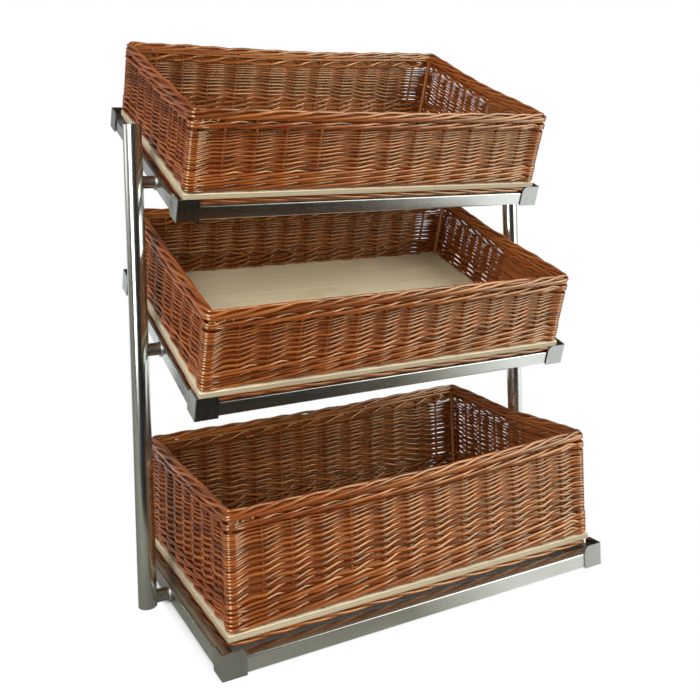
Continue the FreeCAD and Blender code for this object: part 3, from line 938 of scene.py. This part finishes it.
def lay_floor():
    """A white floor that keeps the rack's shadow, throws little light back and looks dark to the steel in front."""
    corners = [(x * FLOOR_REACH, y * FLOOR_REACH, FLOOR_LEVEL) for x, y in ((-1, -1), (1, -1), (1, 1), (-1, 1))]
    material, tree = new_material("floor paper")
    rays = add(tree, "LightPath").outputs
    place = add(tree, "TexCoord").outputs["Object"]
    parts = add(tree, "SeparateXYZ", {0: place}).outputs
    slant = maths(tree, "MULTIPLY_ADD", parts["Y"], 0.87, parts["X"])
    ahead = ramp(tree, maths(tree, "ADD", slant, 0.5), (0.20, 0.01), (0.37, 0.06), (0.50, 0.50), (0.60, 1.0))
    beside = remap(tree, parts["X"], -0.02, 0.14, 0.29, 0.86)
    beside = maths(tree, "MULTIPLY", beside, remap(tree, parts["Y"], -0.36, -0.31))
    seen = maths(tree, "MAXIMUM", ahead, beside)
    warmth = blend_colours(tree, seen, (1.0, 0.98, 0.77), (0.96, 0.99, 1.0))
    seen = blend_colours(tree, seen, (0.0, 0.0, 0.0), warmth)
    bounced = blend_colours(tree, rays["Is Diffuse Ray"], (0.9, 0.9, 0.9), (0.35, 0.33, 0.30))
    color = blend_colours(tree, rays["Is Glossy Ray"], bounced, seen)
    finished(material, {"Base Color": color, "Roughness": 0.9, "Specular IOR Level": 0.0})
    share = maths(tree, "MULTIPLY", backdrop_share(tree, place, parts), rays["Is Camera Ray"])
    backdrop = add(tree, "Emission")
    mixed = add(tree, "MixShader", {0: share, 1: tree.nodes["Principled BSDF"].outputs[0], 2: backdrop.outputs[0]})
    tree.links.new(mixed.outputs[0], tree.nodes["Material Output"].inputs["Surface"])
    new_object("floor", new_mesh("floor", corners, [(0, 1, 2, 3)], material))


def backdrop_share(tree, place, parts):
    """How much of the floor is plain white: none where the rack's shadow lies, all of it farther off."""
    (half_x, half_y), middle_y = SHADED_HALF, SHADED_MIDDLE
    across = maths(tree, "ABSOLUTE", maths(tree, "MULTIPLY", parts["X"], 1 / half_x))
    along = maths(tree, "ABSOLUTE", maths(tree, "MULTIPLY_ADD", parts["Y"], 1 / half_y, -middle_y / half_y))
    edge = remap(tree, maths(tree, "MAXIMUM", across, along), 1.0, 1.03)
    far = add(tree, "VectorMath", {0: place}, operation="LENGTH").outputs["Value"]
    return maths(tree, "MULTIPLY", edge, remap(tree, far, 0.30, 0.60, 0.975, 1.0))


class RACK_OT_steel(Operator):
    """Brush the steel of the rails, brackets, stubs and posts along their length"""

    bl_idname = "rack.steel"
    bl_label = "Steel"

    def execute(self, context):
        colours = context.scene.rack_steel
        tilted = {basket.tier: basket.axes for basket in baskets()}
        for name, node in frame["nodes"].items():
            if node["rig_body"] != "stand":
                continue
            tier = next((t for t in TIERS if name.startswith(t)), None)
            across, back, up = tilted.get(tier, np.eye(3))
            if "front_rail" in name or "back_rail" in name:
                run, axes = "width", (across, back, up)
            elif "_rail" in name:
                run, axes = "depth", (back, across, up)
            else:
                run, axes = "plate" if tier else "post", (up, across, back)
            key = f"steel {tier} {run}" if tier else "steel post"
            # The brackets and the stubs take the darker steel, which is painted shade.
            color = colours.plate if run == "plate" else colours.color
            roughness = colours.roughness if tier else colours.post_roughness
            dress(node, bpy.data.materials.get(key) or steel_material(key, color, roughness, axes))
        return {"FINISHED"}


def dress(node, material):
    """Gives one of the frame's own pieces its material."""
    if not node.material_slots:
        node.data.materials.append(material)
    for slot in node.material_slots:
        slot.material = material


class RACK_OT_welds(Operator):
    """Lay the weld beads round the ends of the stubs"""

    bl_idname = "rack.welds"
    bl_label = "Weld beads"

    def execute(self, context):
        colours = context.scene.rack_steel
        material = weld_material(colours)
        for tier in TIERS:
            for side, outward in (("left", -1.0), ("right", 1.0)):
                stub = f"{tier}_stub_{side}"
                low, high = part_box(stub)
                centre, radius = (low + high) / 2, (high.z - low.z) / 2
                centre.x = (high.x if outward < 0 else low.x) + outward * 0.4 * MM
                bead_ring(stub + "_bead", centre, (outward, 0.0, 0.0), radius, colours.bead, material)
        return {"FINISHED"}


class RACK_OT_boards(Operator):
    """Give each basket's base board its plies and grain"""

    bl_idname = "rack.boards"
    bl_label = "Base boards"

    def execute(self, context):
        for basket in baskets():
            material = plywood_material(f"plywood {basket.tier}", basket, context.scene.rack_plywood)
            dress(frame["nodes"][basket.body + "_base_board"], material)
        return {"FINISHED"}


def willow_for(label, paleness):
    """The willow material of one group of rods, made once."""
    name = "willow " + label
    return bpy.data.materials.get(name) or willow_material(name, bpy.context.scene.rack_willow, paleness)


def on_each_basket(make, *details):
    """Makes one group of rods on every basket."""
    for basket in baskets():
        make(basket).build(*details)
    return {"FINISHED"}


class RACK_OT_stakes(Operator):
    """Plant the upright stakes and the corner posts"""

    bl_idname = "rack.stakes"
    bl_label = "Stakes"

    def execute(self, context):
        return on_each_basket(plant_stakes, "stakes", willow_for("stakes", -0.12), "willow_weave")


class RACK_OT_randing(Operator):
    """Weave the baskets' walls"""

    bl_idname = "rack.randing"
    bl_label = "Randing"

    def execute(self, context):
        return on_each_basket(weave_randing, "randing", willow_for("weavers", 0.0), "willow_weave", "siding")


class RACK_OT_wales(Operator):
    """Wale the foot and the head of each wall with thick rods"""

    bl_idname = "rack.wales"
    bl_label = "Wales"

    def execute(self, context):
        for basket in baskets():
            lower = weave_wale(basket, basket.board_top, basket.wale_top, WALE_ROUNDS, 21)
            upper = weave_wale(basket, basket.randing_top, basket.rim_bottom, 1, 31)
            for bundle, label in ((lower, "lower_wale"), (upper, "upper_wale")):
                bundle.build(label, willow_for("wale", 0.02), "willow_weave", "siding")
        return {"FINISHED"}


class RACK_OT_rim(Operator):
    """Roll the rods of the rim border"""

    bl_idname = "rack.rim"
    bl_label = "Rim border"

    def execute(self, context):
        return on_each_basket(roll_rim, "rim_rods", willow_for("rim", 0.08), "willow_rim", "rim_border")


class RACK_OT_foot(Operator):
    """Twist the rope of rods under each board"""

    bl_idname = "rack.foot"
    bl_label = "Foot border"

    def execute(self, context):
        return on_each_basket(twist_rope, "foot_rope", willow_for("foot", -0.02), "willow_foot", "foot_border")


OPERATORS = (RACK_OT_stage, RACK_OT_steel, RACK_OT_welds, RACK_OT_boards, RACK_OT_stakes)
OPERATORS += (RACK_OT_randing, RACK_OT_wales, RACK_OT_rim, RACK_OT_foot)


class RACK_PT_panel(Panel):
    """Lists the rack's pieces and their sizes"""

    bl_idname = "RACK_PT_panel"
    bl_label = "Bread Rack"
    bl_space_type = "VIEW_3D"
    bl_region_type = "UI"
    bl_category = "Bread Rack"

    def draw(self, context):
        for operator in OPERATORS:
            self.layout.operator(operator.bl_idname)
        for name, group in GROUPS.items():
            box = self.layout.box()
            box.label(text=group.__doc__)
            for field in group.__annotations__:
                box.prop(getattr(context.scene, name), field)


def register():
    for name, group in GROUPS.items():
        bpy.utils.register_class(group)
        setattr(bpy.types.Scene, name, PointerProperty(type=group))
    for kind in (*OPERATORS, RACK_PT_panel):
        bpy.utils.register_class(kind)


def unregister():
    for kind in (RACK_PT_panel, *reversed(OPERATORS)):
        bpy.utils.unregister_class(kind)
    for name, group in reversed(GROUPS.items()):
        delattr(bpy.types.Scene, name)
        bpy.utils.unregister_class(group)


def main():
    register()
    for operator in OPERATORS:
        group, name = operator.bl_idname.split(".")
        getattr(getattr(bpy.ops, group), name)()


if __name__ == "__main__":
    main()
